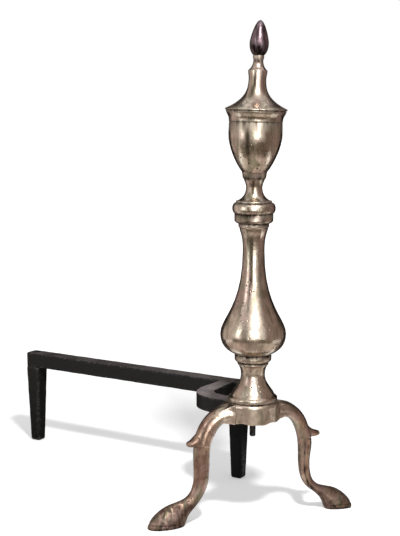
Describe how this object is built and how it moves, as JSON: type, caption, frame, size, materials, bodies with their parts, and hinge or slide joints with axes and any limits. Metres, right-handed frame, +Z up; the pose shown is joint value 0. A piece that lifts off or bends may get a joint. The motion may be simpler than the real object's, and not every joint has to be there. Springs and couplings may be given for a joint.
{
  "type": "andiron",
  "caption": "Brass andiron with an urn-top baluster column on an arch of spurred cabriole legs, and an iron log bar on its own legs that swings about the tie rod.",
  "frame": {"origin": "middle of the footprint's box, on the hearth", "axes": "+Z up; the brass front faces -Y; the two brass legs spread along X; the log bar runs back and to the left"},
  "size_m": [0.2744, 0.4052, 0.5068],
  "materials": {
    "column_brass": "turned and once polished, now tarnished warm grey-gold with darker pits and seams",
    "leg_brass": "cast and filed, coppery brown tarnish with worn bright ridges",
    "bud_brass": "turned, dark purplish brown tarnish",
    "wrought_iron": "forged, black scale, greyer on the worn top faces"
  },
  "bodies": {
    "brass_front": {"leg_hub": "leg_brass", "left_leg": "leg_brass", "right_leg": "leg_brass", "pedestal": "column_brass", "pedestal_ring": "column_brass", "baluster": "column_brass", "collar_ring": "column_brass", "collar_torus": "column_brass", "urn_stem": "column_brass", "urn_bowl": "column_brass", "urn_rim": "column_brass", "urn_lid": "column_brass", "finial_bud": "bud_brass", "tie_rod": "wrought_iron", "washer": "wrought_iron", "clamp_nut": "wrought_iron"},
    "bar": {"log_bar": "wrought_iron", "front_bar_leg": "wrought_iron", "rear_bar_leg": "wrought_iron"}
  },
  "joints": [
    {"name": "bar_swing", "type": "hinge", "parent": "brass_front", "child": "bar", "pos_m": [0.02322, -0.16924, 0.1098], "axis": [0, 0, 1], "range_deg": [-40, 41]}
  ]
}
